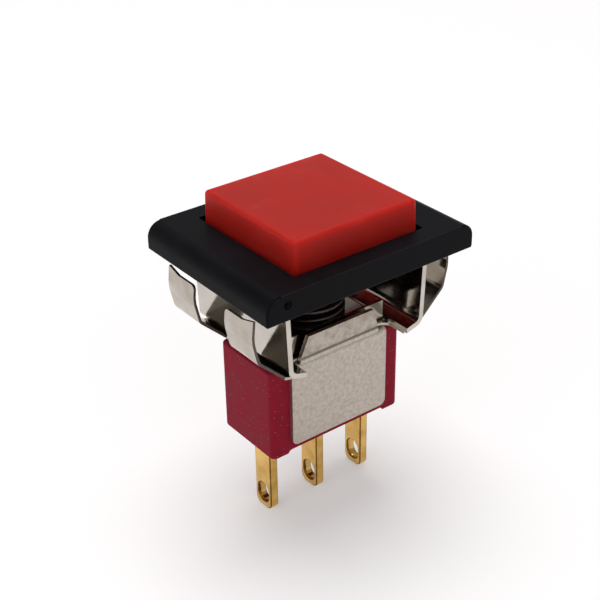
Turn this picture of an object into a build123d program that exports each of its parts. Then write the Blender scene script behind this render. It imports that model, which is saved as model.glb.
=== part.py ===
"""Latching push button switch, snap-in panel type, millimetres, +Z up.

The origin is the middle of the panel seat: the plane of the bezel's underside. +X runs along the
row of terminals and the bezel's long side.
"""
import os
from math import asin, atan2, cos, degrees, hypot, radians, sin, tan

from build123d import *

# button and its travel
button_side = 11.5
button_height = 4.49
button_draft = 1.2
button_edge_radius = 0.28
button_wall = 1.0
button_top_wall = 1.3
button_skirt_depth = 1.2
button_rib = 0.7
button_rib_rise = 1.4
button_travel = 1.8
latch_depth = 1.2

# bezel
bezel_width = 15.3
bezel_height = 2.15
bezel_overhang = 0.22
bezel_end_radius = 1.2
bezel_relief = 0.15
opening_corner_radius = 0.15
bezel_arris = 0.12
bezel_collar_wall = 0.3
bezel_collar_depth = 0.9
bezel_rim_gap = 0.3
button_gap = 0.25

# mounting bracket, a thick sheet
bracket_sheet = 0.4
bracket_seat_drop = 6.31
bracket_width = 11.6
bracket_wall_lean = 0.28
bracket_bend_radius = 0.35
bracket_flange_bend = 0.1
bracket_flange_inset = 0.28
bracket_flange_height = 1.55
bracket_tab_width = 7.0
bracket_tab_height = 0.8
waist_margin = 0.23
waist_corner_radius = 0.8

# snap-in clip, a thin spring sheet
clip_sheet = 0.22
clip_width = 10.8
clip_bend_radius = 0.3
clip_foot_overhang = 0.08
finger_inner_edge = 2.0
finger_knee_out = 2.38
finger_knee_drop = 4.23
finger_bulge_out = 2.83
finger_bulge_drop = 2.23
finger_tip_out = 2.65
finger_tip_drop = 0.58
finger_corner_rise = 0.35
finger_corner_run = 1.3
finger_corner_radius = 0.35

# metal frame
frame_sheet = 0.35
frame_length = 9.3
frame_side_height = 7.3
frame_corner_radius = 0.5
frame_bend_radius = 0.2
frame_relief_width = 0.15
frame_relief_depth = 0.3
tab_inset = 0.85
tab_side_slope = 0.65
tab_height = 2.1
tab_flare = 0.08
tab_straight = 0.25

# case
case_width = 6.6
case_end_margin = 1.65
case_corner_radius = 0.5
case_end_wall = 0.9
case_side_wall = 0.8
case_floor = 1.72
case_foot_length = 1.5
case_foot_height = 0.38
seal_depth = 0.6
seal_margin = 0.8

# terminals
terminal_pitch = 4.7
terminal_width = 2.03
terminal_thickness = 0.76
terminal_reach = 6.95
terminal_tip_radius = 0.45
terminal_tip_chamfer = 0.12
eye_width = 1.4
eye_length = 1.8
eye_to_tip = 0.5

# contact set
contact_radius = 0.65
contact_height = 0.3
rocker_sheet = 0.4
rocker_corner = 0.4
rocker_end_gap = 0.2
rocker_tilt = 5.0
rocker_ear_height = 0.55
rocker_ear_width = 0.5
rocker_ear_sheet = 0.25
rivet_radius = 0.3
rivet_stand = 0.1

# guide, plunger and latch
sleeve_wall = 0.65
sleeve_height = 2.55
cover_thickness = 0.7
stem_flat_depth = 0.4
stem_flat_drop = 0.3
stem_insert = 2.2
crosshead_height = 0.45
crosshead_length = 3.4
leg_thickness = 0.6
leg_wall_gap = 0.3
leg_foot = 0.35
slot_slope = 35.0
groove_depth = 0.4
groove_width = 0.42
groove_sideways = 0.7
wire_radius = 0.15
latch_arm = 1.9
latch_tip_drop = 0.4
latch_ring_sheet = 0.14
latch_ring_height = 0.8
latch_ring_rise = 0.2
latch_ring_gap = 70.0

# contact slider and its sprung follower
slider_length = 2.2
slider_height = 1.1
slider_chamfer = 0.12
trunnion_radius = 0.4
trunnion_reach = 0.35
follower_radius = 0.45
follower_rise = 0.17
follower_bore_depth = 0.9
follower_shank = 0.45
follower_wire = 0.05
follower_turns = 2

# return spring
spring_wire = 0.21
spring_turns = 6
wire_sides = 6
spring_pocket = 0.6

# clearances
seat_gap = 0.01
pivot_gap = 0.02
contact_gap = 0.03
sliding_gap = 0.05
running_gap = 0.08
leg_gap = 0.12
spring_gap = 0.14

# plan sizes worked out from each other
opening_side = button_side + 2 * button_gap
bracket_top_reach = opening_side / 2 + bezel_collar_wall + sliding_gap + bracket_sheet
bracket_foot_reach = bracket_top_reach - bracket_wall_lean
clip_foot_reach = bracket_foot_reach + clip_foot_overhang
finger_reach = clip_foot_reach + finger_bulge_out
bezel_length = 2 * (finger_reach + bezel_overhang)
case_length = 2 * (terminal_pitch + case_end_margin)
cavity_length = case_length - 2 * case_end_wall
cavity_width = case_width - 2 * case_side_wall
frame_width = case_width + 2 * (frame_sheet + seat_gap)
waist_width = case_width + 2 * (seat_gap - sliding_gap)
waist_length = frame_length + 2 * waist_margin
tab_foot_length = frame_length - 2 * tab_inset
tab_top_length = tab_foot_length - 2 * tab_side_slope
leg_middle = cavity_width / 2 - leg_wall_gap - leg_thickness / 2
between_legs = 2 * leg_middle - leg_thickness
rocker_width = between_legs - 2 * leg_gap
rocker_length = cavity_length - 2 * rocker_end_gap
trunnion_span = cavity_width + 2 * trunnion_reach
spring_radius = waist_width / 2 - bracket_sheet - spring_gap - spring_wire
sleeve_radius = spring_radius - spring_wire - latch_ring_sheet - running_gap - 3 * seat_gap
stem_radius = sleeve_radius - sleeve_wall - sliding_gap
stem_flat = stem_radius - stem_flat_depth
slider_stroke = button_travel * tan(radians(slot_slope))
slider_place = -slider_stroke / 2
terminal_places = [-terminal_pitch, 0, terminal_pitch]

# heights worked out from the seat downwards
spring_top = spring_pocket - button_skirt_depth
bracket_top = -bracket_seat_drop
bracket_bottom = bracket_top - bracket_sheet
clip_bottom = bracket_bottom - clip_sheet
frame_top = clip_bottom
case_top = frame_top - frame_sheet
cover_bottom = case_top - cover_thickness
crosshead_top = cover_bottom - contact_gap
crosshead_bottom = crosshead_top - crosshead_height
slider_top = crosshead_bottom - button_travel - running_gap
slider_bottom = slider_top - slider_height
trunnion_height = slider_top - slider_height / 2
rocker_top = slider_bottom - follower_rise
pivot_height = rocker_top - rocker_sheet - pivot_gap
leg_bottom = trunnion_height - trunnion_radius - leg_foot
cavity_floor = leg_bottom - button_travel - contact_gap
case_bottom = cavity_floor - case_floor
terminal_tip = case_bottom - terminal_reach
sleeve_top = bracket_top + sleeve_height
latch_tip = sleeve_top - latch_tip_drop
latch_pivot = latch_tip - latch_arm

# how far past a face a cutting shape runs, and how far a joined shape sinks into its neighbour
beyond = 1.0
sunk = 0.01


def offset_points(points, distance):
    """Points of a parallel line, on the left of the direction of travel, with mitred corners."""
    moved = []
    for i, (x, y) in enumerate(points):
        normals = []
        for a, b in ((i - 1, i), (i, i + 1)):
            if 0 <= a and b < len(points):
                dx, dy = points[b][0] - points[a][0], points[b][1] - points[a][1]
                normals.append((-dy / hypot(dx, dy), dx / hypot(dx, dy)))
        nx = sum(n[0] for n in normals) / len(normals)
        ny = sum(n[1] for n in normals) / len(normals)
        scale = distance / (nx * nx + ny * ny)
        moved.append((x + nx * scale, y + ny * scale))
    return moved


def bent_sheet(points, sheet, inner_radius, plane):
    """Section of a folded sheet: outer line points, thickness to the left, rounded bends."""
    inner = offset_points(points, sheet)
    outer_radii, inner_radii = [], []
    for i in range(1, len(points) - 1):
        (ax, ay), (bx, by), (cx, cy) = points[i - 1], points[i], points[i + 1]
        turn = (bx - ax) * (cy - by) - (by - ay) * (cx - bx)
        outer_radii.append(inner_radius + sheet if turn > 0 else inner_radius)
        inner_radii.append(inner_radius if turn > 0 else inner_radius + sheet)
    outer_line = FilletPolyline(*points, radius=outer_radii)
    inner_line = FilletPolyline(*inner, radius=inner_radii)
    ends = [Line(points[0], inner[0]), Line(points[-1], inner[-1])]
    return plane * make_face(outer_line.edges() + inner_line.edges() + ends)


def mirrored(half):
    """Points of a symmetric line from its half that runs outwards on the positive side."""
    return [(-x, z) for x, z in reversed(half)] + list(half)


def both_ways(face, length):
    return extrude(face, length / 2, both=True)


def block(x, y, z0, z1, cx=0.0, cy=0.0):
    """Box of sides x and y from height z0 to z1."""
    return Pos(cx, cy, (z0 + z1) / 2) * Box(x, y, z1 - z0)


def post(radius, z0, z1, x=0.0, y=0.0):
    return Pos(x, y, (z0 + z1) / 2) * Cylinder(radius, z1 - z0)


def cross_pin(radius, length, x, z, y=0.0):
    """Cylinder along Y."""
    return Pos(x, y, z) * Rot(90, 0, 0) * Cylinder(radius, length)


def rounded_block(x, y, z0, z1, radius):
    """Box with its four upright edges rounded."""
    return fillet(block(x, y, z0, z1).edges().filter_by(Axis.Z), radius)


def both_sides(shape, plane):
    """The shape and its mirror image."""
    return shape + mirror(shape, plane)


def centre_bore():
    """Hole round the guide sleeve, through every sheet."""
    return post(sleeve_radius + sliding_gap, case_top - beyond, bracket_top + beyond)


def waist_plan(end_width, end_length):
    """Dog-bone outline: a waist that passes between the frame's tabs, and two wide ends."""
    ends = Rectangle(end_length, end_width) - Rectangle(waist_length, end_width + beyond)
    plan = ends + Rectangle(waist_length + sunk, waist_width)
    inner = [v for v in plan.vertices() if abs(v.X) < end_length / 2 and abs(v.Y) < end_width / 2]
    return fillet(inner, waist_corner_radius)


def make_button_cap():
    """Hollow cap with a round post for the plunger and four ribs under its top."""
    skirt_bottom = -button_skirt_depth
    ceiling = button_height - button_top_wall
    shrink = 2 * tan(radians(button_draft)) * (button_height - skirt_bottom)
    base = Plane.XY.offset(skirt_bottom) * Rectangle(button_side, button_side)
    cap = extrude(base, button_height - skirt_bottom, taper=button_draft)
    cap = fillet(cap.edges().sort_by(Axis.Z)[4:], button_edge_radius)
    hollow = button_side - shrink - 2 * button_wall
    cap -= block(hollow, hollow, skirt_bottom - beyond, ceiling)
    cap += post(spring_radius + spring_wire, spring_top, ceiling + sunk)
    for sides in ((hollow + 2 * sunk, button_rib), (button_rib, hollow + 2 * sunk)):
        cap += block(*sides, spring_top + button_rib_rise, ceiling + sunk)
    return cap - post(stem_radius, skirt_bottom - beyond, spring_top + stem_insert)


def make_bezel():
    """Frame with quarter-round ends, a seat rim, a collar and slots for the bracket's tabs."""
    r = bezel_end_radius
    half, h = bezel_length / 2, bezel_height
    outline = FilletPolyline((-half, 0), (-half, h), (half, h), (half, 0), radius=[r, r])
    section = Plane.XZ * make_face(outline.edges() + [Line((half, 0), (-half, 0))])
    bezel = both_ways(section, bezel_width)
    bezel = chamfer(bezel.edges().filter_by(Axis.X).sort_by(Axis.Z)[-2:], bezel_arris)
    collar = opening_side + 2 * bezel_collar_wall
    relief = (2 * (finger_reach + sliding_gap), bracket_width + 2 * bezel_rim_gap)
    bezel -= block(*relief, -beyond, bezel_relief)
    bezel += block(collar, collar, -bezel_collar_depth, bezel_relief + sunk)
    bezel -= rounded_block(opening_side, opening_side, -beyond, h + beyond, opening_corner_radius)
    slot_inner = bracket_top_reach - bracket_sheet - sliding_gap
    slot_outer = wall_reach(bracket_tab_height) + sliding_gap
    slot_width = bracket_tab_width + 2 * sliding_gap
    slot_top = bracket_tab_height + sliding_gap
    middle = (slot_outer + slot_inner) / 2
    for x in (-middle, middle):
        bezel -= block(slot_outer - slot_inner, slot_width, -beyond, slot_top, cx=x)
    return bezel


def wall_reach(z):
    """Half-length of the bracket over its leaning end walls at height z."""
    return bracket_top_reach - bracket_wall_lean * z / bracket_bottom


def make_mounting_bracket():
    """Channel with leaning end walls, a waist between the frame's tabs and two side flanges."""
    foot = bracket_foot_reach
    line = mirrored([(foot, bracket_bottom), (wall_reach(bracket_tab_height), bracket_tab_height)])
    section = bent_sheet(line, bracket_sheet, bracket_bend_radius, Plane.XZ)
    plan = waist_plan(bracket_width, 2 * (bracket_top_reach + beyond))
    bracket = both_ways(section, bracket_width) & Pos(0, 0, bracket_bottom - beyond) * extrude(plan, 20)
    shoulder = (bracket_width - bracket_tab_width) / 2
    shoulder_y = (bracket_tab_width + shoulder) / 2
    for x in (-foot, foot):
        for y in (-shoulder_y, shoulder_y):
            bracket -= block(foot, shoulder, -contact_gap, bracket_tab_height + beyond, cx=x, cy=y)
    side = waist_width / 2
    flange_line = mirrored([(side, bracket_bottom), (side, bracket_top + bracket_flange_height)])
    flanges = bent_sheet(flange_line, bracket_sheet, bracket_flange_bend, Plane.YZ)
    length = waist_length - 2 * bracket_flange_inset
    middle = block(length, waist_width + beyond, bracket_bottom - beyond, bracket_top + beyond)
    return bracket - middle + both_ways(flanges, length) - centre_bore()


def finger_window():
    """Outline of one finger seen along X: straight sides, its outer top corner raised."""
    outer, inner = clip_width / 2, finger_inner_edge
    foot, tip = clip_bottom - beyond, -finger_tip_drop
    shoulder = tip - finger_corner_rise
    outline = Polyline(
        (inner, foot), (outer, foot), (outer, tip), (outer - finger_corner_run, shoulder),
        (inner, shoulder), close=True,
    )
    finger = extrude(Plane.YZ * make_face(outline), finger_reach + beyond)
    inner_corner = finger.edges().filter_by(Axis.X).sort_by(Axis.Z)[2]
    return both_sides(fillet(inner_corner, finger_corner_radius), Plane.XZ)


def make_snap_in_clip():
    """Thin sheet under the bracket with two bent spring fingers at each end."""
    foot = clip_foot_reach
    line = [
        (0, clip_bottom),
        (foot, clip_bottom),
        (foot + finger_knee_out, -finger_knee_drop),
        (finger_reach, -finger_bulge_drop),
        (foot + finger_tip_out, -finger_tip_drop),
    ]
    sheet = both_ways(bent_sheet(line, clip_sheet, clip_bend_radius, Plane.XZ), clip_width)
    base = block(2 * foot, clip_width + beyond, clip_bottom - beyond, bracket_bottom)
    clip = both_sides(sheet & (finger_window() + base), Plane.YZ)
    plan = waist_plan(clip_width, 2 * (finger_reach + beyond))
    return (clip & Pos(0, 0, clip_bottom - beyond) * extrude(plan, 20)) - centre_bore()


def make_switch_frame():
    """Inverted U that saddles the case, with an upright tab on each side beside the bracket."""
    half = frame_width / 2
    side_bottom = frame_top - frame_side_height
    line = [(half, side_bottom), (half, frame_top), (-half, frame_top), (-half, side_bottom)]
    shell = both_ways(bent_sheet(line, frame_sheet, frame_bend_radius, Plane.YZ), frame_length)
    shell = fillet(shell.edges().filter_by(Axis.Y).sort_by(Axis.Z)[:4], frame_corner_radius)
    root = case_top - frame_relief_depth
    shoulder = frame_top + tab_straight
    top = frame_top + tab_height
    lean = [(half, root - sunk), (half, shoulder), (half + tab_flare, top)]
    tab = both_ways(bent_sheet(lean, frame_sheet, frame_bend_radius, Plane.YZ), tab_foot_length)
    foot_x, top_x = tab_foot_length / 2, tab_top_length / 2
    outline = mirrored([(foot_x, root - beyond), (foot_x, shoulder), (top_x, top)])
    tab = tab & both_ways(Plane.XZ * make_face(Polyline(*outline, close=True)), 2 * frame_width)
    relief = tab_foot_length + 2 * frame_relief_width
    for y in (-half, half):
        shell -= block(relief, 2 * (frame_sheet + frame_bend_radius), root, frame_top + beyond, cy=y)
    return shell + both_sides(tab, Plane.XZ) - centre_bore()


def make_case():
    """Open box with two feet, terminal slots, a sealed pocket below and guide grooves within."""
    case = rounded_block(case_length, case_width, case_bottom, case_top, case_corner_radius)
    case = chamfer(case.faces().sort_by(Axis.Z)[-1].edges(), frame_bend_radius)
    case -= block(cavity_length, cavity_width, cavity_floor, case_top + beyond)
    recess_length = case_length - 2 * case_foot_length
    recess_top = case_bottom + case_foot_height
    case -= block(recess_length, case_width + beyond, case_bottom - beyond, recess_top)
    case -= seal_pocket()
    for x in terminal_places:
        case -= block(terminal_thickness, terminal_width, case_bottom - beyond, cavity_floor + beyond, cx=x)
    groove = slider_stroke + 2 * (trunnion_radius + running_gap)
    half = trunnion_radius + sliding_gap
    depth = trunnion_span + 2 * running_gap
    return case - block(groove, depth, trunnion_height - half, trunnion_height + half)


def seal_pocket():
    length = case_length - 2 * (case_foot_length - seal_margin / 2)
    width = case_width - 2 * seal_margin
    bottom = case_bottom + case_foot_height
    return block(length, width, bottom, bottom + seal_depth)


def make_terminal_seal():
    """Cast resin that fills the pocket round the terminals."""
    seal = seal_pocket()
    for x in terminal_places:
        seal -= block(terminal_thickness, terminal_width, case_bottom - beyond, cavity_floor, cx=x)
    return seal


def make_terminal(x, top):
    """Flat blade with a slotted eye, from its tip to its head inside the case."""
    blade = block(terminal_thickness, terminal_width, terminal_tip, top)
    blade = fillet(blade.edges().filter_by(Axis.X).sort_by(Axis.Z)[:2], terminal_tip_radius)
    tip = blade.faces().sort_by(Axis.Z)[0]
    blade = chamfer(tip.edges().filter_by(Axis.Y), terminal_tip_chamfer)
    eye = Plane.YZ * Rot(0, 0, 90) * SlotOverall(eye_length, eye_width)
    eye_z = terminal_tip + eye_to_tip + eye_length / 2
    blade -= Pos(0, 0, eye_z) * both_ways(eye, 2 * terminal_thickness)
    return Pos(x, 0, 0) * blade


def make_terminal_common():
    """The middle terminal: its top is the rounded edge that the rocker rolls on."""
    blade = make_terminal(0, pivot_height)
    ridge = blade.edges().filter_by(Axis.Y).sort_by(Axis.Z)[-2:]
    return fillet(ridge, terminal_thickness / 2 - 2 * sunk)


def end_head_top():
    """Top of the end terminals' heads: the contacts just meet when the rocker is fully tilted."""
    tilt = radians(rocker_tilt)
    reach = terminal_pitch + contact_radius
    low = contact_height - pivot_gap
    edge = pivot_height - reach * sin(tilt) - low * cos(tilt)
    return edge - contact_gap - contact_height


def make_end_terminal(x):
    head = block(2 * contact_radius, terminal_width, cavity_floor, end_head_top(), cx=x)
    return make_terminal(x, end_head_top()) + head


def make_fixed_contact(x):
    top = end_head_top()
    return post(contact_radius, top, top + contact_height, x=x)


def tilted(shape, sign):
    """Turned about the rocker's pivot line."""
    return Pos(0, 0, pivot_height) * Rot(0, sign * rocker_tilt, 0) * Pos(0, 0, -pivot_height) * shape


def make_contact_rocker():
    """See-saw strip with two ears that straddle the middle terminal."""
    bottom = pivot_height + pivot_gap
    strip = block(rocker_length, rocker_width, bottom, rocker_top)
    strip = chamfer(strip.edges().filter_by(Axis.Z), rocker_corner)
    ear_x = terminal_thickness / 2 + leg_gap + rocker_ear_sheet / 2
    for x in (-ear_x, ear_x):
        strip += block(rocker_ear_sheet, rocker_ear_width, bottom - rocker_ear_height, bottom + sunk, cx=x)
    for x in (-terminal_pitch, terminal_pitch):
        strip -= post(rivet_radius, bottom - beyond, rocker_top + beyond, x=x)
    return tilted(strip, -1)


def make_moving_contact(x):
    """Contact button under the rocker, its shank riveted through the strip."""
    bottom = pivot_height + pivot_gap
    head = post(contact_radius, bottom - contact_height, bottom, x=x)
    shank = post(rivet_radius, bottom - sunk, rocker_top + rivet_stand, x=x)
    return tilted(head + shank, -1)


def make_guide_cover():
    """Lid inside the case with a round sleeve that guides the plunger."""
    length, width = cavity_length - 2 * sliding_gap, cavity_width - 2 * sliding_gap
    cover = block(length, width, cover_bottom, case_top)
    cover += post(sleeve_radius, case_top - sunk, sleeve_top)
    cover -= post(stem_radius + sliding_gap, cover_bottom - beyond, sleeve_top + beyond)
    return cover - latch_window()


def latch_window():
    """Slot in the sleeve's wall, wider towards the top, for the latch wire to swing in."""
    foot = wire_radius + running_gap
    swing = asin(groove_sideways / latch_arm)
    side = foot / cos(swing)
    z0, z1 = latch_pivot - foot, sleeve_top + beyond
    reach = side + (z1 - latch_pivot) * tan(swing)
    outline = [(-foot, z0), (foot, z0), (side, latch_pivot), (reach, z1), (-foot, z1)]
    return extrude(Plane.XZ * make_face(Polyline(*outline, close=True)), sleeve_radius + beyond)


def make_latch_pin():
    """Wire in the sleeve's window: its foot is the pivot, its bent top end runs in the groove."""
    y = -(stem_radius + sleeve_radius) / 2 - sliding_gap
    shank = post(wire_radius, latch_pivot, latch_tip + wire_radius, y=y)
    reach = groove_depth - stem_flat - running_gap - y
    shank += cross_pin(wire_radius, reach, 0, latch_tip, y=y + reach / 2)
    foot = -stem_radius - running_gap - y
    return shank + cross_pin(wire_radius, foot, 0, latch_pivot, y=y + foot / 2)


def make_latch_ring():
    """Open spring band round the sleeve that keeps the latch wire in its window."""
    inner = sleeve_radius + seat_gap
    z0 = latch_pivot + latch_ring_rise
    z1 = z0 + latch_ring_height
    ring = post(inner + latch_ring_sheet, z0, z1) - post(inner, z0 - beyond, z1 + beyond)
    half_gap = radians(latch_ring_gap / 2)
    x, y = 2 * sleeve_radius * sin(half_gap), 2 * sleeve_radius * cos(half_gap)
    wedge = make_face(Polyline((0, 0), (-x, y), (x, y), close=True))
    return ring - Pos(0, 0, z0 - beyond) * extrude(wedge, latch_ring_height + 2 * beyond)


def make_plunger():
    """Stem with the latch groove, a crosshead and two legs whose sloped slots drive the slider."""
    stem = post(stem_radius, crosshead_bottom, spring_top + stem_insert)
    flat_top = spring_top - stem_flat_drop
    stem -= block(2 * stem_radius, beyond, cover_bottom + wire_radius, flat_top, cy=-stem_flat - beyond / 2)
    head_width = 2 * leg_middle + leg_thickness
    stem += block(crosshead_length, head_width, crosshead_bottom, crosshead_top)
    for y in (-leg_middle, leg_middle):
        stem += block(crosshead_length, leg_thickness, leg_bottom, crosshead_top, cy=y)
    bore = 2 * (trunnion_radius + sliding_gap)
    slot_length = hypot(slider_stroke, button_travel) + bore
    angle = degrees(atan2(button_travel, slider_stroke))
    slot = both_ways(Plane.XZ * Rot(0, 0, angle) * SlotOverall(slot_length, bore), case_width)
    return stem - Pos(0, 0, trunnion_height + button_travel / 2) * slot - heart_groove()


def heart_groove():
    """Groove of the push-push latch: an outer loop round a heart-shaped island with a notch."""
    low = latch_tip
    w = groove_width / 2
    side, foot = groove_sideways + w, w + running_gap
    top_in, top_out = low + button_travel - w, low + button_travel + w + sliding_gap
    loop = mirrored([(w, low - w), (foot, low), (side, top_in), (side, top_out)])
    notch = low + latch_depth
    lobe = groove_sideways * latch_depth / button_travel - w - sliding_gap
    rise = 2 * sliding_gap
    island = [
        (0, low + 0.6 * latch_depth), (lobe, notch - 2 * rise), (0.6 * lobe, notch + rise),
        (0, notch - 2 * rise), (-0.6 * lobe, notch + rise), (-lobe, notch - 2 * rise),
    ]
    face = make_face(Polyline(*loop, close=True)) - make_face(Polyline(*island, close=True))
    return Pos(0, groove_depth - stem_flat, 0) * extrude(Plane.XZ * face, 2 * stem_radius)


def make_contact_slider():
    """Block between the legs, on a cross pin that runs in their slots and in the case's grooves."""
    width = between_legs - 2 * running_gap
    slider = block(slider_length, width, slider_bottom, slider_top)
    slider = chamfer(slider.edges().filter_by(Axis.Y), slider_chamfer)
    slider += cross_pin(trunnion_radius, trunnion_span, 0, trunnion_height)
    bore_top = slider_bottom + follower_bore_depth
    slider -= post(follower_radius + sliding_gap, slider_bottom - beyond, bore_top)
    return Pos(slider_place, 0, 0) * slider


def make_contact_follower():
    """Round-nosed pin in the slider's bore that presses on the rocker."""
    pin = post(follower_radius, rocker_top + contact_gap, slider_bottom + follower_shank)
    pin = chamfer(pin.edges().sort_by(Axis.Z)[0], follower_rise / 2, follower_radius / 2)
    return Pos(slider_place, 0, 0) * pin


def coil(radius, wire, z0, z1, turns):
    """Open coil between two heights, over the wire, its round wire drawn with six sides."""
    height = z1 - z0 - 2 * wire
    path = Helix(pitch=height / turns, height=height, radius=radius)
    start = Plane(path @ 0, z_dir=path % 0)
    section = start * RegularPolygon(wire, wire_sides)
    return Pos(0, 0, z0 + wire) * sweep(section, path, is_frenet=True)


def make_follower_spring():
    z0 = slider_bottom + follower_shank + seat_gap
    z1 = slider_bottom + follower_bore_depth - seat_gap
    radius = follower_radius - follower_wire - sliding_gap
    return Pos(slider_place, 0, 0) * coil(radius, follower_wire, z0, z1, follower_turns)


def make_return_spring():
    return coil(spring_radius, spring_wire, bracket_top, spring_top, spring_turns)


parts = {
    "bezel": make_bezel(),
    "button_cap": make_button_cap(),
    "plunger": make_plunger(),
    "return_spring": make_return_spring(),
    "mounting_bracket": make_mounting_bracket(),
    "snap_in_clip": make_snap_in_clip(),
    "switch_frame": make_switch_frame(),
    "case": make_case(),
    "guide_cover": make_guide_cover(),
    "latch_pin": make_latch_pin(),
    "latch_ring": make_latch_ring(),
    "contact_slider": make_contact_slider(),
    "contact_follower": make_contact_follower(),
    "follower_spring": make_follower_spring(),
    "contact_rocker": make_contact_rocker(),
    "moving_contact_left": make_moving_contact(-terminal_pitch),
    "moving_contact_right": make_moving_contact(terminal_pitch),
    "fixed_contact_left": make_fixed_contact(-terminal_pitch),
    "fixed_contact_right": make_fixed_contact(terminal_pitch),
    "terminal_left": make_end_terminal(-terminal_pitch),
    "terminal_common": make_terminal_common(),
    "terminal_right": make_end_terminal(terminal_pitch),
    "terminal_seal": make_terminal_seal(),
}

os.makedirs("parts", exist_ok=True)
for name, solid in parts.items():
    export_step(solid, f"parts/{name}.step")
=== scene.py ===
from math import atan2, cos, pi, radians, sin, tan

import bmesh
import bpy
from mathutils import Matrix, Vector


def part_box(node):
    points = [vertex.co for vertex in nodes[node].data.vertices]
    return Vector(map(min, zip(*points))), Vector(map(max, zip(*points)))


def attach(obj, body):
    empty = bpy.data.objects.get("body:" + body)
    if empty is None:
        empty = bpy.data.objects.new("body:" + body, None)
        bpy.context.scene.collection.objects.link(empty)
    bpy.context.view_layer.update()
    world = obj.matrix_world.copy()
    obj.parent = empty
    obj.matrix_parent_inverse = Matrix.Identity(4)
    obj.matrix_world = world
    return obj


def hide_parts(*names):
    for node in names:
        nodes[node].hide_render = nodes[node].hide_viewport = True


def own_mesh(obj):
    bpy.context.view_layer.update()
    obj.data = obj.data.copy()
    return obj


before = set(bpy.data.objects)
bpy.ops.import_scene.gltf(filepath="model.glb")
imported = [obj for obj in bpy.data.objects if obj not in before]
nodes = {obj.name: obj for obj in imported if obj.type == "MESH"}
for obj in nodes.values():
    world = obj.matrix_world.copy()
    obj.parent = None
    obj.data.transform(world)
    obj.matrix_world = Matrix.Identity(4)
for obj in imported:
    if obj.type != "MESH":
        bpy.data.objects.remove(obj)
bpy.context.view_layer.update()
bpy.ops.object.select_all(action="DESELECT")
mm = 0.001  # pieces are shaped in millimetres and scaled to metres when they are done
print("frame loaded:", len(nodes), "nodes")

# camera, fitted to the case, the bezel and the terminals: degrees and millimetres, clip in metres

camera = {"azimuth": -37.085, "elevation": 29.865, "roll": -0.981, "distance": 97.008,
          "target": (-1.014, 0.0, -4.17), "lens": 75.755, "sensor": 36, "clip": (0.005, 10)}

turn, rise = radians(camera["azimuth"]), radians(camera["elevation"])
outwards = Vector((sin(turn) * cos(rise), -cos(turn) * cos(rise), sin(rise)))
eye = (Vector(camera["target"]) + outwards * camera["distance"]) * mm
bpy.ops.object.camera_add(location=eye)
cameraObject = bpy.context.object
cameraObject.rotation_euler = (outwards.to_track_quat("Z", "Y").to_matrix()
                               @ Matrix.Rotation(radians(camera["roll"]), 3, "Z")).to_euler()
cameraObject.data.lens = camera["lens"]
cameraObject.data.sensor_width = camera["sensor"]
cameraObject.data.clip_start, cameraObject.data.clip_end = camera["clip"]
bpy.context.scene.camera = cameraObject
bpy.context.scene.view_settings.view_transform = "Standard"
print("camera placed")


# materials

noiseRange = {"From Min": 0.35, "From Max": 0.65}  # nearly all of a noise lies between these


def toLinear(hexCode):  # sRGB hex colour as the linear values that the shaders take
    channels = [int(hexCode[i:i + 2], 16) / 255 for i in (0, 2, 4)]
    return (*[c / 12.92 if c <= 0.04045 else ((c + 0.055) / 1.055) ** 2.4 for c in channels], 1.0)


def perMetre(size):  # texture scale for a feature of this size in millimetres
    return 1 / (size * mm)


def addNode(tree, kind, settings=None, links=None):
    # a colour mix has its factor at 0 and its colours at 6 and 7, and the result is output 2
    node = tree.nodes.new("ShaderNode" + kind)
    for key, value in (settings or {}).items():
        if isinstance(key, str) and hasattr(node, key):
            setattr(node, key, value)
        else:
            node.inputs[key].default_value = value
    for key, source in (links or {}).items():
        tree.links.new(source, node.inputs[key])
    return node


def makeFinish(name, constants, tones, patch, rough, grain, depth, stretch=(1, 1, 1), strength=0.5):
    # two tones in patches this large, and a grain this fine and deep: sizes in millimetres
    material = bpy.data.materials.new(name)
    material.use_nodes = True
    tree = material.node_tree
    shader = tree.nodes["Principled BSDF"]
    for key, value in constants.items():
        shader.inputs[key].default_value = value
    where = addNode(tree, "TexCoord").outputs["Object"]
    patches = addNode(tree, "TexNoise", {"Scale": perMetre(patch), "Detail": 4.0},
                      {"Vector": where}).outputs["Fac"]
    along = addNode(tree, "Mapping", {"Scale": stretch}, {"Vector": where}).outputs["Vector"]
    grains = addNode(tree, "TexNoise", {"Scale": perMetre(grain), "Detail": 3.0},
                     {"Vector": along}).outputs["Fac"]
    shade = addNode(tree, "MapRange", noiseRange, {"Value": patches})
    tone = addNode(tree, "Mix", {"data_type": "RGBA", 6: toLinear(tones[0]), 7: toLinear(tones[1])},
                   {0: shade.outputs["Result"]})
    gloss = addNode(tree, "MapRange", {**noiseRange, "To Min": rough[0], "To Max": rough[1]},
                    {"Value": grains if constants.get("Metallic") else patches})
    bump = addNode(tree, "Bump", {"Strength": strength, "Distance": depth * mm}, {"Height": grains})
    tree.links.new(tone.outputs[2], shader.inputs["Base Color"])
    tree.links.new(gloss.outputs["Result"], shader.inputs["Roughness"])
    tree.links.new(bump.outputs["Normal"], shader.inputs["Normal"])
    return material, tree, shader, where, tone.outputs[2], bump


# ABS, injection moulded in a spark-eroded tool: an even satin, deep red that glows at its edges
satinRedPlastic, tree, shader, where, base, bump = makeFinish(
    "satinRedPlastic", {"IOR": 1.5, "Specular IOR Level": 0.15, "Subsurface Weight": 1.0,
                        "Subsurface Radius": (1.0, 0.1, 0.05), "Subsurface Scale": 3.2 * mm},
    ("A71C13", "B02018"), 5.0, (0.38, 0.5), 0.16, 0.016)
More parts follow.
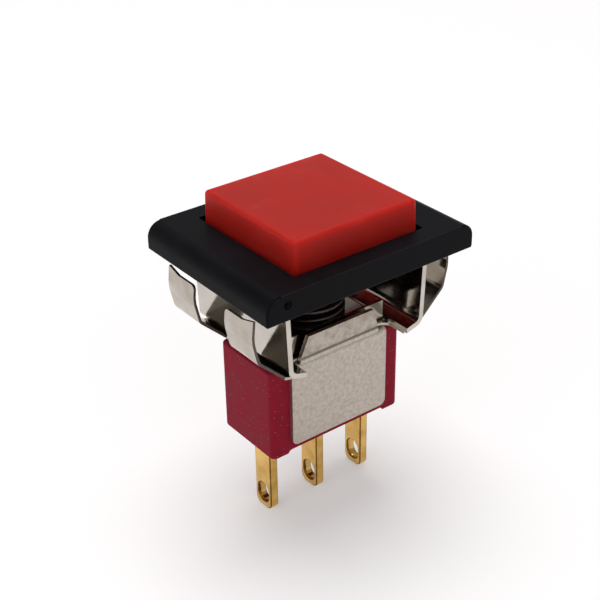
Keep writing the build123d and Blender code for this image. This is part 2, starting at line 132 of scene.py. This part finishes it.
# pale scuffs from handling, lying level round the button
drag = addNode(tree, "Mapping", {"Scale": (0.5, 0.5, 1.6)}, {"Vector": where}).outputs["Vector"]
scuffs = addNode(tree, "TexNoise", {"Scale": perMetre(1.6), "Detail": 5.0, "Roughness": 0.7},
                 {"Vector": drag})
pale = addNode(tree, "MapRange", {"From Min": 0.56, "From Max": 0.8, "To Max": 0.12},
               {"Value": scuffs.outputs["Fac"]})
scuffed = addNode(tree, "Mix", {"data_type": "RGBA", 7: toLinear("D08478")},
                  {0: pale.outputs["Result"], 6: base})
tree.links.new(scuffed.outputs[2], shader.inputs["Base Color"])

# nylon, moulded black with a fine eroded texture: charcoal where the light grazes it
mouldedNylon = makeFinish(
    "mouldedNylon", {"IOR": 1.53, "Specular IOR Level": 0.05},
    ("0A0A0D", "101014"), 3.0, (0.44, 0.54), 0.14, 0.01)[0]

# the same nylon, paler along the top edges as a painted highlight: a thin paler line
nylonPaintedHighlight = makeFinish(
    "nylonPaintedHighlight", {"IOR": 1.53, "Specular IOR Level": 0.12},
    ("111115", "2A2A30"), 0.6, (0.35, 0.5), 0.14, 0.01)[0]

# bright nickel plate on stamped steel sheet: a warm mirror, softened by rolling lines
brightNickel = makeFinish(
    "brightNickel", {"Metallic": 1.0},
    ("C8C3BB", "BAB4AB"), 2.2, (0.08, 0.16), 0.25, 0.002, (0.12, 1, 1), 0.2)[0]

# stainless spring strip, cold rolled and blanked: a little greyer, the grain across the fingers
springStainless = makeFinish(
    "springStainless", {"Metallic": 1.0},
    ("BCB5AC", "ABA297"), 1.8, (0.13, 0.22), 0.2, 0.002, (1, 0.1, 1), 0.25)[0]

# the same strip along its blanked thickness: torn and dull, and darker as painted shade
tornEdgeAndShade = makeFinish(
    "tornEdgeAndShade", {"Metallic": 1.0},
    ("6B635B", "4A443E"), 0.1, (0.35, 0.55), 0.1, 0.01)[0]

# nickel plate over tumbled steel: dull, with a mottle of fine dents and short scratches
tumbledNickel, tree, shader, where, base, bump = makeFinish(
    "tumbledNickel", {"Metallic": 1.0},
    ("BFB6AC", "ADA499"), 0.3, (0.34, 0.52), 0.12, 0.02)
drag = addNode(tree, "Mapping", {"Scale": (0.12, 1, 1.3)}, {"Vector": where}).outputs["Vector"]
scratches = addNode(tree, "TexNoise", {"Scale": perMetre(0.2)}, {"Vector": drag})
scratched = addNode(tree, "Bump", {"Strength": 0.4, "Distance": 0.008 * mm},
                    {"Height": scratches.outputs["Fac"], "Normal": bump.outputs["Normal"]})
tree.links.new(scratched.outputs["Normal"], shader.inputs["Normal"])
# above the bend of the tabs the colour goes darker and browner, in uneven patches
height = addNode(tree, "SeparateXYZ", None, {0: where}).outputs["Z"]
above = addNode(tree, "MapRange", {"From Min": -6.75 * mm, "From Max": -6.6 * mm},
                {"Value": height})
patchNoise = addNode(tree, "TexNoise", {"Scale": perMetre(0.9), "Detail": 5.0, "Roughness": 0.65},
                 {"Vector": where})
patchStrength = addNode(tree, "MapRange", {"From Min": 0.45, "From Max": 0.7, "To Min": 0.15,
                                   "To Max": 0.85}, {"Value": patchNoise.outputs["Fac"]})
darkeningAbove = addNode(tree, "Math", {"operation": "MULTIPLY"},
                {0: above.outputs["Result"], 1: patchStrength.outputs["Result"]})
darkenedTone = addNode(tree, "Mix", {"data_type": "RGBA", 7: toLinear("857A6C")},
                 {0: darkeningAbove.outputs[0], 6: base})
tree.links.new(darkenedTone.outputs[2], shader.inputs["Base Color"])

# diallyl phthalate thermoset, compression moulded: crimson with pale specks of mineral filler
speckledThermoset, tree, shader, where, base, bump = makeFinish(
    "speckledThermoset", {"IOR": 1.55, "Specular IOR Level": 0.06},
    ("88152A", "961B31"), 1.5, (0.42, 0.58), 0.1, 0.008)
grit = addNode(tree, "TexVoronoi", {"Scale": perMetre(0.36)}, {"Vector": where}).outputs["Distance"]
speck = addNode(tree, "MapRange", {"From Min": 0.06, "From Max": 0.14, "To Min": 0.75,
                                   "To Max": 0.0}, {"Value": grit})
specked = addNode(tree, "Mix", {"data_type": "RGBA", 7: toLinear("C4848C")},
                  {0: speck.outputs["Result"], 6: base})
tree.links.new(specked.outputs[2], shader.inputs["Base Color"])

# gold flash on blanked brass: a satin yellow mirror with faint lines from the press tool
goldPlate = makeFinish(
    "goldPlate", {"Metallic": 1.0},
    ("E6BE70", "CFA352"), 1.2, (0.14, 0.26), 0.2, 0.005, (1, 1, 0.12), 0.35)[0]

# painted shade on the blades' rounded edges: brown lines that draw each blade's outline
goldPaintedEdgeShade = makeFinish(
    "goldPaintedEdgeShade", {"Metallic": 1.0},
    ("8E6A34", "6B4B20"), 0.3, (0.3, 0.45), 0.1, 0.006)[0]

# hard-drawn spring wire: dark grey, with a fine mottle left by the drawing soap
drawnWire = makeFinish(
    "drawnWire", {"Metallic": 1.0},
    ("524D47", "3C3834"), 0.15, (0.26, 0.4), 0.1, 0.002)[0]

# acetal, moulded black: smoother than the bezel, slightly waxy
blackAcetal = makeFinish(
    "blackAcetal", {"IOR": 1.48},
    ("17171A", "202024"), 0.8, (0.3, 0.42), 0.3, 0.004)[0]

# acetal in its natural colour: milky, a little translucent
naturalAcetal = makeFinish(
    "naturalAcetal", {"IOR": 1.48, "Subsurface Weight": 0.3, "Subsurface Scale": 0.5 * mm},
    ("D9D3C4", "CBC4B2"), 0.8, (0.32, 0.45), 0.3, 0.004)[0]

# strip for the contact rocker, a copper alloy under a silver flash: warm and soft, rolling lines
silveredCopper = makeFinish(
    "silveredCopper", {"Metallic": 1.0},
    ("D3B79B", "C2A184"), 0.6, (0.25, 0.38), 0.15, 0.003, (0.15, 1, 1), 0.3)[0]

# fine silver, headed cold: white and satin, a touch of tarnish
contactSilver = makeFinish(
    "contactSilver", {"Metallic": 1.0},
    ("DEDAD2", "BDB4A4"), 0.5, (0.28, 0.42), 0.5, 0.004, strength=0.3)[0]

# epoxy, poured and set: dark red and glossy, with the slow ripple of a poured surface
pouredEpoxy = makeFinish(
    "pouredEpoxy", {"IOR": 1.55, "Coat Weight": 0.3},
    ("4A0F18", "5A141F"), 1.6, (0.15, 0.3), 1.6, 0.06)[0]

finishes = {
    "plunger": blackAcetal, "guide_cover": blackAcetal,
    "latch_pin": drawnWire, "latch_ring": springStainless,
    "contact_slider": naturalAcetal, "contact_follower": naturalAcetal,
    "follower_spring": drawnWire, "contact_rocker": silveredCopper,
    "moving_contact_left": contactSilver, "moving_contact_right": contactSilver,
    "fixed_contact_left": contactSilver, "fixed_contact_right": contactSilver,
    "terminal_seal": pouredEpoxy,
}
for name, material in finishes.items():
    if nodes[name].material_slots:
        nodes[name].material_slots[0].material = material
    else:
        nodes[name].data.materials.append(material)
print("materials made, inner pieces dressed:", len(finishes))

# shaping tools

close = 0.01  # places that lie within this of each other count as one
aligned = 0.9  # a unit vector that reaches this far along an axis counts as lying along it
crease = 35  # degrees from which an edge is bevelled and stays hard
weld = 0.0005  # points nearer than this are merged
past = 1  # cutters reach this far beyond what they cut
bite = 0.01  # parts of a piece that are joined run this far into each other


def nodeBox(name):  # lowest and highest corner of a CAD node, in millimetres
    low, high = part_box(name)
    return Vector(low) / mm, Vector(high) / mm


def applyTransform():
    bpy.ops.object.transform_apply(location=True, rotation=True, scale=True)
    return bpy.context.object


def block(low, high):
    middle = [(a + b) / 2 for a, b in zip(low, high)]
    size = [b - a for a, b in zip(low, high)]
    bpy.ops.mesh.primitive_cube_add(size=1, location=middle, scale=size)
    return applyTransform()


def slab(halfX, halfY, low, high):  # a block centred on the Z axis
    return block((-halfX, -halfY, low), (halfX, halfY, high))


def rod(radius, low, high, x=0.0, y=0.0, sides=48):  # upright cylinder
    bpy.ops.mesh.primitive_cylinder_add(radius=radius, depth=high - low, vertices=sides,
                                        location=(x, y, (low + high) / 2))
    return applyTransform()


def ball(place, radius, depth):  # a sphere flattened along Y
    bpy.ops.mesh.primitive_uv_sphere_add(segments=24, ring_count=12, radius=radius,
                                         location=place, scale=(1, depth / radius, 1))
    return applyTransform()


def onSide(sign, near, far):  # two distances on one side of the middle, the lower first
    return sorted((sign * near, sign * far))


def pick(piece, kind, test):  # edit mode, with what passes the test selected
    bpy.ops.object.select_all(action="DESELECT")
    piece.select_set(True)
    bpy.context.view_layer.objects.active = piece
    bpy.ops.object.mode_set(mode="EDIT")
    bpy.ops.mesh.select_mode(type=kind)
    bpy.ops.mesh.select_all(action="DESELECT")
    mesh = bmesh.from_edit_mesh(piece.data)
    elements = {"VERT": mesh.verts, "EDGE": mesh.edges, "FACE": mesh.faces}[kind]
    for element in elements:
        if kind == "VERT":
            element.select_set(test(element.co))
        elif kind == "EDGE":
            a, b = (v.co for v in element.verts)
            element.select_set(test((a + b) / 2, (b - a).normalized()))
        else:
            element.select_set(test(element.calc_center_median(), element.normal))
    mesh.select_flush_mode()
    bmesh.update_edit_mesh(piece.data)


def done():
    bpy.ops.object.mode_set(mode="OBJECT")


def upright(middle, along):  # test for edges that run along Z
    return abs(along.z) > aligned


def facingUp(middle, normal):  # test for faces that look up
    return normal.z > aligned


def roundEdges(piece, radius, segments, test):
    pick(piece, "EDGE", test)
    bpy.ops.mesh.bevel(offset=radius, offset_type="OFFSET", segments=segments, profile=0.5)
    done()
    return piece


def roundCorners(piece, radius, segments, test):  # rounds the corners of a flat sheet's outline
    pick(piece, "VERT", test)
    bpy.ops.mesh.bevel(offset=radius, offset_type="OFFSET", segments=segments, affect="VERTICES")
    done()
    return piece


def resizeTop(piece, x, y):
    pick(piece, "FACE", facingUp)
    bpy.ops.transform.resize(value=(x, y, 1))
    done()


def removeFaces(piece, test):
    pick(piece, "FACE", test)
    bpy.ops.mesh.delete(type="FACE")
    done()


def bisect(piece, point, direction, **settings):
    pick(piece, "FACE", lambda middle, normal: True)
    bpy.ops.mesh.bisect(plane_co=point, plane_no=direction, **settings)
    done()


def applied(piece, kind, **settings):
    modifier = piece.modifiers.new(kind.lower(), kind)
    for key, value in settings.items():
        setattr(modifier, key, value)
    bpy.context.view_layer.objects.active = piece
    bpy.ops.object.modifier_apply(modifier=modifier.name)
    return piece


def combine(piece, other, operation="DIFFERENCE"):
    applied(piece, "BOOLEAN", object=other, operation=operation, solver="EXACT")
    bpy.data.objects.remove(other, do_unlink=True)
    return piece


def addMaterials(piece, *materials):
    for material in materials:
        piece.data.materials.append(material)


def assignFirst(piece, test):  # gives the first material to the faces that pass the test
    pick(piece, "FACE", test)
    piece.active_material_index = 0
    bpy.ops.object.material_slot_assign()
    done()


def finish(piece, name, body, replaced, material, edge=0.04, segments=2, sharp=crease):
    piece.name = piece.data.name = name
    pick(piece, "VERT", lambda co: True)
    bpy.ops.mesh.remove_doubles(threshold=weld)
    bpy.ops.mesh.dissolve_degenerate(threshold=weld)
    bpy.ops.mesh.normals_make_consistent(inside=False)
    done()
    if edge:
        applied(piece, "BEVEL", width=edge, segments=segments, limit_method="ANGLE",
                angle_limit=radians(sharp), use_clamp_overlap=True)
    piece.scale = (mm, mm, mm)
    bpy.ops.object.select_all(action="DESELECT")
    piece.select_set(True)
    bpy.context.view_layer.objects.active = piece
    applyTransform()
    bpy.ops.object.shade_smooth_by_angle(angle=radians(sharp))
    # large flat faces stay flat beside their bevels
    applied(piece, "WEIGHTED_NORMAL", keep_sharp=True)
    if not piece.data.materials:
        piece.data.materials.append(material)
    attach(piece, body)
    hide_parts(replaced)
    piece.select_set(False)
    print("made", name, len(piece.data.polygons), "faces")
    return piece


# pieces

button = {"draft": 0.115, "edgeRadius": 0.32, "wall": 1.0, "ceiling": 1.3,
          "postRadius": 2.72, "postFoot": -0.6, "boreRadius": 1.37, "boreDepth": 2.2,
          "rib": 0.7, "ribFoot": 0.8, "intoWall": 0.02, "intoRoof": 0.1}

low, high = nodeBox("button_cap")
cap = block(low, high)
resizeTop(cap, 1 - button["draft"] / high.x, 1 - button["draft"] / high.y)
roundEdges(cap, button["edgeRadius"], 6, lambda middle, along: middle.z > low.z + close)
roof = high.z - button["ceiling"]
half = high.x - button["draft"] - button["wall"]
combine(cap, slab(half, half, low.z - past, roof))
ribLength, ribTop = half + button["intoWall"], roof + button["intoRoof"]
for x, y in ((ribLength, button["rib"] / 2), (button["rib"] / 2, ribLength)):
    combine(cap, slab(x, y, button["ribFoot"], ribTop), "UNION")
combine(cap, rod(button["postRadius"], button["postFoot"], ribTop), "UNION")
combine(cap, rod(button["boreRadius"], low.z - past, button["postFoot"] + button["boreDepth"]))
finish(cap, "buttonCap", "button", "button_cap", satinRedPlastic, edge=0.05)

bezel = {"endRadius": 1.2, "footRadius": 0.15, "arris": 0.1, "paintedHighlightDepth": 0.15,
         "rimX": 9.43, "rimY": 6.1, "relief": 0.15, "collarHalf": 6.3, "collarTop": 0.3,
         "openingHalf": 6.0, "openingZ": (-3, 5), "cornerRadius": 0.15,
         "slotX": (6.3, 6.833), "slotHalf": 3.55, "slotTop": 0.85,
         "line": 0.12, "lineInset": 0.03, "lineFoot": -0.2,
         "gateMark": (-7.8, 1.3), "gateRadius": 0.36, "gateDepth": 0.22,
         "nib": (0.05, 0.2, -0.16), "nibRadius": 0.14, "nibDepth": 0.2}

low, high = nodeBox("bezel")
rim = block((low.x, low.y, 0), high)
roundEdges(rim, bezel["endRadius"], 12,
           lambda middle, along: abs(along.y) > aligned and middle.z > high.z - close)
roundEdges(rim, bezel["footRadius"], 4, lambda middle, along: middle.z < close)
combine(rim, slab(bezel["rimX"], bezel["rimY"], -past, bezel["relief"]))
combine(rim, slab(bezel["collarHalf"], bezel["collarHalf"], low.z, bezel["collarTop"]), "UNION")
hole = slab(bezel["openingHalf"], bezel["openingHalf"], *bezel["openingZ"])
combine(rim, roundEdges(hole, bezel["cornerRadius"], 3, upright))
for sign in (-1, 1):
    x, y = onSide(sign, *bezel["slotX"]), bezel["slotHalf"]
    combine(rim, block((x[0], -y, -past), (x[1], y, bezel["slotTop"])))
addMaterials(rim, mouldedNylon, nylonPaintedHighlight)
# the bevels take the paler nylon, a painted highlight
applied(rim, "BEVEL", width=bezel["arris"], segments=2, limit_method="ANGLE",
        angle_limit=radians(crease), material=1)
# only the edges at the top keep the painted highlight
assignFirst(rim, lambda middle, normal: middle.z < high.z - bezel["paintedHighlightDepth"])
for x in (-1, 1):
    for y in (low.y, high.y):  # witness line of the tool's end insert, on both long faces
        place = (x * (high.x - bezel["endRadius"]), y, high.z - bezel["endRadius"])
        bpy.ops.mesh.primitive_torus_add(
            major_radius=bezel["endRadius"] - bezel["lineInset"], minor_radius=bezel["line"],
            major_segments=48, minor_segments=12, location=place, rotation=(pi / 2, 0, 0))
        ring = applyTransform()
        for direction in ((x, 0, 0), (0, 0, 1)):  # a quarter of the ring is left
            bisect(ring, place, direction, clear_inner=True, use_fill=True)
        combine(rim, ring)
        combine(rim, rod(bezel["line"], bezel["lineFoot"], place[2] + bite,
                         x * (high.x - bezel["lineInset"]), y, 12))
x, z = bezel["gateMark"]  # a shallow dish with the gate's torn nib in it
combine(rim, ball((x, low.y, z), bezel["gateRadius"], bezel["gateDepth"]))
nib = bezel["nib"]
combine(rim, ball((x + nib[0], low.y + nib[1], z + nib[2]), bezel["nibRadius"],
                  bezel["nibDepth"]), "UNION")
finish(rim, "bezelFrame", "housing", "bezel", mouldedNylon, edge=0)

sheet = {"bracket": 0.4, "clip": 0.22, "frame": 0.35, "bore": 2.1,
         "waistX": 4.88, "waistY": 3.26, "waistRadius": 0.8, "turnUpX": 4.8, "turnUp": 0.45,
         "below": -9, "over": 3, "aside": 9}  # the last three are clear of all three sheets


def turnUpEnds(piece, footX, bottom):  # a floor's ends slope up before they meet the upright parts
    for sign in (-1, 1):
        bisect(piece, (sign * sheet["turnUpX"], 0, 0), (1, 0, 0))
    pick(piece, "VERT", lambda co: abs(co.x) > footX - close and co.z < bottom + close)
    bpy.ops.transform.translate(value=(0, 0, sheet["turnUp"]))
    done()


def cutWaist(piece, reachY):  # the notches on both sides that let the frame's tabs pass
    for sign in (-1, 1):
        x, y = sheet["waistX"], onSide(sign, sheet["waistY"], reachY + 2 * past)
        notch = block((-x, y[0], sheet["below"]), (x, y[1], sheet["over"]))
        roundEdges(notch, sheet["waistRadius"], 6,
                   lambda middle, along: upright(middle, along)
                   and abs(middle.y) < sheet["waistY"] + close)
        combine(piece, notch)


def cutBore(piece):  # the round hole for the guide's sleeve
    combine(piece, rod(sheet["bore"], sheet["below"], sheet["over"]))


bracket = {"footX": 6.47, "topX": 6.783, "halfY": 5.8, "bottom": -6.71, "top": 0.8,
           "shoulder": -0.03, "tabHalf": 3.5, "bendRadius": 0.62,
           "flangeX": 4.78, "flangeY": 3.01, "flangeSheet": 0.26, "flangeTop": -4.94,
           "flangeBend": 0.36}

bottom = bracket["bottom"]
channel = slab(bracket["footX"], bracket["halfY"], bottom, bracket["top"])
resizeTop(channel, bracket["topX"] / bracket["footX"], 1)
removeFaces(channel, lambda middle, normal: normal.z > aligned or abs(normal.y) > aligned)
turnUpEnds(channel, bracket["footX"], bottom)
roundEdges(channel, bracket["bendRadius"], 8, lambda middle, along: abs(along.y) > aligned
           and abs(middle.x) > bracket["footX"] - close)
applied(channel, "SOLIDIFY", thickness=sheet["bracket"], offset=-1, use_even_offset=True)
cutWaist(channel, bracket["halfY"])
for x in (-bracket["footX"], bracket["footX"]):
    for sign in (-1, 1):
        y = onSide(sign, bracket["tabHalf"], sheet["aside"])
        combine(channel, block((x - 2 * past, y[0], bracket["shoulder"]),
                               (x + 2 * past, y[1], sheet["over"])))
x, y = bracket["flangeX"], bracket["flangeY"]  # the waist's floor gives way to the flanged trough
combine(channel, slab(x, y + past, bottom - past, bottom + 2 * past))
trough = slab(x + bite / 2, y, bottom, bracket["flangeTop"])
removeFaces(trough, lambda middle, normal: normal.z > aligned or abs(normal.x) > aligned)
roundEdges(trough, bracket["flangeBend"], 6,
           lambda middle, along: abs(along.x) > aligned and middle.z < bottom + close)
applied(trough, "SOLIDIFY", thickness=bracket["flangeSheet"], offset=-1, use_even_offset=True)
combine(channel, trough, "UNION")
cutBore(channel)
finish(channel, "mountingBracket", "housing", "mounting_bracket", brightNickel,
       edge=0.05)

clip = {"footX": 6.55, "halfY": 5.4, "bottom": -6.93, "innerY": 2.0, "slopeY": 4.1,
        "knee": (8.93, -4.23), "bulge": (9.38, -2.23), "tip": (9.238, -0.93),
        "corner": (9.2, -0.58), "innerCorner": 0.35, "bendRadii": (0.52, 0.8, 3.0),
        "tornAndShadedPast": 0.1}

footX, bottom, innerY = clip["footX"], clip["bottom"], clip["innerY"]
(tipX, tipZ), (cornerX, cornerZ) = clip["tip"], clip["corner"]
bpy.ops.mesh.primitive_plane_add(size=2, location=(0, 0, bottom))
fingers = bpy.context.object
fingers.scale = (footX, clip["halfY"], 1)
applyTransform()
for y in (-clip["slopeY"], -innerY, innerY, clip["slopeY"]):
    bisect(fingers, (0, y, bottom), (0, 1, 0))
turnUpEnds(fingers, footX, bottom)
outline = [(footX, bottom + sheet["turnUp"]), clip["knee"], clip["bulge"], clip["tip"]]
for sign in (-1, 1):
    for (x, z), (nextX, nextZ) in zip(outline, outline[1:]):
        pick(fingers, "EDGE", lambda middle, along: abs(along.y) > aligned
             and abs(middle.z - z) < close and abs(middle.x - sign * x) < close
             and abs(middle.y) > innerY)
        bpy.ops.mesh.extrude_region_move(
            TRANSFORM_OT_translate={"value": (sign * (nextX - x), 0, nextZ - z)})
        done()
    pick(fingers, "VERT", lambda co: co.z > tipZ - close
         and abs(co.y) > clip["halfY"] - close and co.x * sign > 0)
    bpy.ops.transform.translate(value=(sign * (cornerX - tipX), 0, cornerZ - tipZ))
    done()
roundCorners(fingers, clip["innerCorner"], 5,
             lambda co: co.z > tipZ - close and abs(abs(co.y) - innerY) < close)
points = [(sheet["turnUpX"], bottom)] + outline
headings = [atan2(end[1] - start[1], end[0] - start[0]) for start, end in zip(points, points[1:])]
for (x, z), before, after, radius in zip(outline, headings, headings[1:], clip["bendRadii"]):
    roundEdges(fingers, radius * tan((after - before) / 2), 6,
               lambda middle, along: abs(along.y) > aligned and abs(middle.z - z) < close
               and abs(abs(middle.x) - x) < close and abs(middle.y) > innerY)
addMaterials(fingers, springStainless, tornEdgeAndShade)
# the sheet's rim takes the dark torn edge, partly painted shade
applied(fingers, "SOLIDIFY", thickness=sheet["clip"], offset=1, use_even_offset=True,
        material_offset_rim=1)
cutWaist(fingers, clip["halfY"])
cutBore(fingers)
# only the fingers' edges stay torn and dark, the dark there partly painted shade
assignFirst(fingers, lambda middle, normal: abs(middle.x) < footX + clip["tornAndShadedPast"])
finish(fingers, "snapInClip", "housing", "snap_in_clip", springStainless, edge=0.03)

shell = {"halfX": 4.65, "halfY": 3.66, "top": -6.93, "bottom": -14.23, "bendRadius": 0.55,
         "cornerRadius": 0.5, "tabFoot": 3.8, "tabTop": 3.15, "tabHeight": -4.83,
         "shoulder": -6.68, "reliefX": 3.95, "root": -7.13, "flare": 0.16,
         "groove": 0.11, "grooveOut": 0.03}

halfY, bend, shoulder = shell["halfY"], shell["bendRadius"], shell["shoulder"]
saddle = slab(shell["halfX"], halfY, shell["bottom"], shell["top"])
removeFaces(saddle, lambda middle, normal: normal.z < -aligned or abs(normal.x) > aligned)
roundCorners(saddle, shell["cornerRadius"], 6, lambda co: co.z < shell["bottom"] + close)
roundEdges(saddle, bend, 6, lambda middle, along: abs(along.x) > aligned
           and middle.z > shell["top"] - close and abs(middle.y) > halfY - close)
applied(saddle, "SOLIDIFY", thickness=sheet["frame"], offset=-1, use_even_offset=True)
for sign in (-1, 1):
    x, y = shell["reliefX"], onSide(sign, halfY - bend, halfY + bend)
    combine(saddle, block((-x, y[0], shell["root"]), (x, y[1], shell["top"] + past)))
    x, y = shell["tabFoot"], onSide(sign, halfY - sheet["frame"], halfY)
    tab = block((-x, y[0], shell["root"] - bite / 2), (x, y[1], shoulder))
    pick(tab, "FACE", facingUp)
    bpy.ops.mesh.extrude_region_move(TRANSFORM_OT_translate={
        "value": (0, sign * shell["flare"], shell["tabHeight"] - shoulder)})
    bpy.ops.transform.resize(value=(shell["tabTop"] / shell["tabFoot"], 1, 1))
    done()
    combine(saddle, tab, "UNION")
    line = slab(shell["tabFoot"], shell["groove"], -shell["groove"], shell["groove"])
    line.rotation_euler.x = pi / 4  # on edge, to score a V along the tab's bend
    line.location = (0, sign * (halfY + shell["grooveOut"]), shoulder)
    applyTransform()
    combine(saddle, line)
cutBore(saddle)
finish(saddle, "switchFrame", "housing", "switch_frame", tumbledNickel,
       edge=0.07, segments=3)

# the case has a slot for each blade, so the blades' sizes stand here

blade = {"pitch": 4.7, "halfX": 0.38, "halfY": 1.015, "floor": -13.47, "tipRadius": 0.6,
         "eyeHalf": 0.7, "eyeRadius": 0.69, "eyeLow": 0.5, "eyeHigh": 2.3, "ridge": 0.36,
         "arris": 0.09}
case = {"cornerRadius": 0.5, "topArris": 0.2, "footArris": 0.22, "footX": 4.85,
        "footHeight": 0.38, "footRadius": 0.33, "cavityX": 5.45, "cavityY": 2.5, "floor": 1.72,
        "pocketX": 5.25, "pocketY": 2.5, "pocket": 0.98,
        "grooveX": 1.11, "grooveY": 2.93, "grooveZ": (-11.34, -10.44)}

low, high = nodeBox("case")
footTop, floorTop = low.z + case["footHeight"], low.z + case["floor"]
body = block(low, high)
roundEdges(body, case["cornerRadius"], 6, upright)
roundEdges(body, case["topArris"], 3, lambda middle, along: middle.z > high.z - close)
roundEdges(body, case["footArris"], 4, lambda middle, along: middle.z < low.z + close)
arch = block((-case["footX"], low.y - past, low.z - past), (case["footX"], high.y + past, footTop))
roundEdges(arch, case["footRadius"], 4,
           lambda middle, along: abs(along.y) > aligned and middle.z > low.z)
combine(body, arch)
combine(body, slab(case["pocketX"], case["pocketY"], footTop, low.z + case["pocket"]))
for x in (-blade["pitch"], 0, blade["pitch"]):
    combine(body, block((x - blade["halfX"], -blade["halfY"], low.z - past),
                        (x + blade["halfX"], blade["halfY"], floorTop + past)))
combine(body, slab(case["cavityX"], case["cavityY"], floorTop, high.z + past))
combine(body, slab(case["grooveX"], case["grooveY"], *case["grooveZ"]))
finish(body, "caseBody", "housing", "case", speckledThermoset, edge=0)

tip = nodeBox("terminal_common")[0].z
strip = slab(blade["halfX"], blade["halfY"], tip, blade["floor"])
roundEdges(strip, blade["tipRadius"], 6,
           lambda middle, along: abs(along.x) > aligned and middle.z < tip + close)
eyelet = slab(2 * past, blade["eyeHalf"], tip + blade["eyeLow"], tip + blade["eyeHigh"])
combine(strip, roundEdges(eyelet, blade["eyeRadius"], 10,
                          lambda middle, along: abs(along.x) > aligned))
addMaterials(strip, goldPlate, goldPaintedEdgeShade)
# the rounded edges take the brown: painted shade along each blade's outline
applied(strip, "BEVEL", width=blade["arris"], segments=3, limit_method="ANGLE",
        angle_limit=radians(crease), use_clamp_overlap=False, material=1)
for index, name in enumerate(("terminal_left", "terminal_common", "terminal_right")):
    low, high = nodeBox(name)
    copy = strip.copy()
    copy.data = strip.data.copy()
    bpy.context.collection.objects.link(copy)
    pick(copy, "VERT", lambda co: True)
    bpy.ops.transform.translate(value=((index - 1) * blade["pitch"], 0, 0))
    done()
    head = block((low.x, low.y, blade["floor"] - bite), high)
    if name == "terminal_common":  # the rocker tilts on its rounded ridge
        roundEdges(head, blade["ridge"], 8,
                   lambda middle, along: abs(along.y) > aligned and middle.z > high.z - close)
    combine(copy, head, "UNION")
    finish(copy, "blade" + name.split("_")[1].title(), "housing", name, goldPlate)
bpy.data.objects.remove(strip, do_unlink=True)

spring = {"radius": 2.49, "wire": 0.21, "turns": 7.5, "sides": 14, "stepsPerTurn": 40}

low, high = nodeBox("return_spring")
tall = high.z - low.z
bpy.ops.mesh.primitive_circle_add(vertices=spring["sides"], radius=spring["wire"],
                                  fill_type="NOTHING", rotation=(pi / 2, 0, 0),
                                  location=(spring["radius"], 0, low.z + spring["wire"]))
coil = applyTransform()
climb = (tall - 2 * spring["wire"]) / spring["turns"]
steps = int(spring["stepsPerTurn"] * spring["turns"])
applied(coil, "SCREW", angle=2 * pi * spring["turns"], screw_offset=climb * spring["turns"],
        iterations=1, steps=steps, render_steps=steps)
pick(coil, "VERT", lambda co: False)
bpy.ops.mesh.select_non_manifold()  # the wire's open ends
bpy.ops.mesh.edge_face_add()
done()
finish(coil, "returnSpring", "housing", "return_spring", drawnWire, edge=0, sharp=50)
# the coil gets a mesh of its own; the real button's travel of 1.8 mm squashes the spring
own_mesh(coil)
print("pieces made")

# floor, surroundings and lamps

studio = {"floor": "E2DFDF", "floorSize": 1.6, "floorDrop": 0.02, "glow": 0.28, "world": 0.35,
          "mirroredLow": 0.8, "mirroredHigh": 0.35, "fadeLow": 0.05, "fadeHigh": 0.4}

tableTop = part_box("terminal_common")[0].z
bpy.ops.mesh.primitive_plane_add(size=studio["floorSize"],
                                 location=(0, 0, tableTop - studio["floorDrop"] * mm))
floor = bpy.context.object
floor.name = "floor"
whitePaper = bpy.data.materials.new("whitePaper")  # matt card: shows white but keeps the shadow
whitePaper.use_nodes = True
tree = whitePaper.node_tree
tree.nodes.remove(tree.nodes["Principled BSDF"])
seen = addNode(tree, "LightPath")
shows = seen.outputs["Is Camera Ray"]
for ray in ("Is Glossy Ray", "Is Transmission Ray"):
    shows = addNode(tree, "Math", {"operation": "MAXIMUM"},
                    {0: shows, 1: seen.outputs[ray]}).outputs[0]
glow = addNode(tree, "Math", {"operation": "MULTIPLY", 1: studio["glow"]}, {0: shows}).outputs[0]
card = addNode(tree, "BsdfDiffuse", {"Color": toLinear(studio["floor"])})
light = addNode(tree, "Emission", None, {"Strength": glow})
both = addNode(tree, "AddShader", None, {0: card.outputs[0], 1: light.outputs[0]})
tree.links.new(both.outputs[0], tree.nodes["Material Output"].inputs["Surface"])
floor.data.materials.append(whitePaper)

# a room that the camera sees white, dimmer as a light, and brighter low down where metal mirrors it
world = bpy.data.worlds.new("studio")
bpy.context.scene.world = world
world.use_nodes = True
tree = world.node_tree
seen = addNode(tree, "LightPath")
direction = addNode(tree, "SeparateXYZ", None, {0: addNode(tree, "TexCoord").outputs["Generated"]})
room = addNode(tree, "MapRange",
               {"From Min": studio["fadeLow"], "From Max": studio["fadeHigh"],
                "To Min": studio["mirroredLow"], "To Max": studio["mirroredHigh"]},
               {"Value": direction.outputs["Z"]}).outputs[0]
strength = addNode(tree, "MapRange", {"To Min": studio["world"]},
                   {"Value": seen.outputs["Is Glossy Ray"], "To Max": room}).outputs[0]
for ray in ("Is Camera Ray", "Is Transmission Ray"):
    strength = addNode(tree, "Math", {"operation": "MAXIMUM"},
                       {0: strength, 1: seen.outputs[ray]}).outputs[0]
tree.links.new(strength, tree.nodes["Background"].inputs["Strength"])
tree.nodes["Background"].inputs["Color"].default_value = (1, 1, 1, 1)

lamps = {  # place in metres, size in metres, power in watts
    "keyLamp": ((0.04, 0.1, 0.6), 0.45, 2.4),
    "rightLamp": ((-0.1, -0.5, 0.34), 0.4, 0.4),
    "leftLamp": ((-0.5, -0.12, 0.24), 0.4, 0.5),
}
for name, (place, size, power) in lamps.items():
    bpy.ops.object.light_add(type="AREA", location=place)
    lamp = bpy.context.object
    lamp.name = name
    lamp.data.shape = "DISK"
    lamp.data.size = size
    lamp.data.energy = power
    lamp.rotation_euler = Vector(place).to_track_quat("Z", "Y").to_euler()
print("floor and lights set")
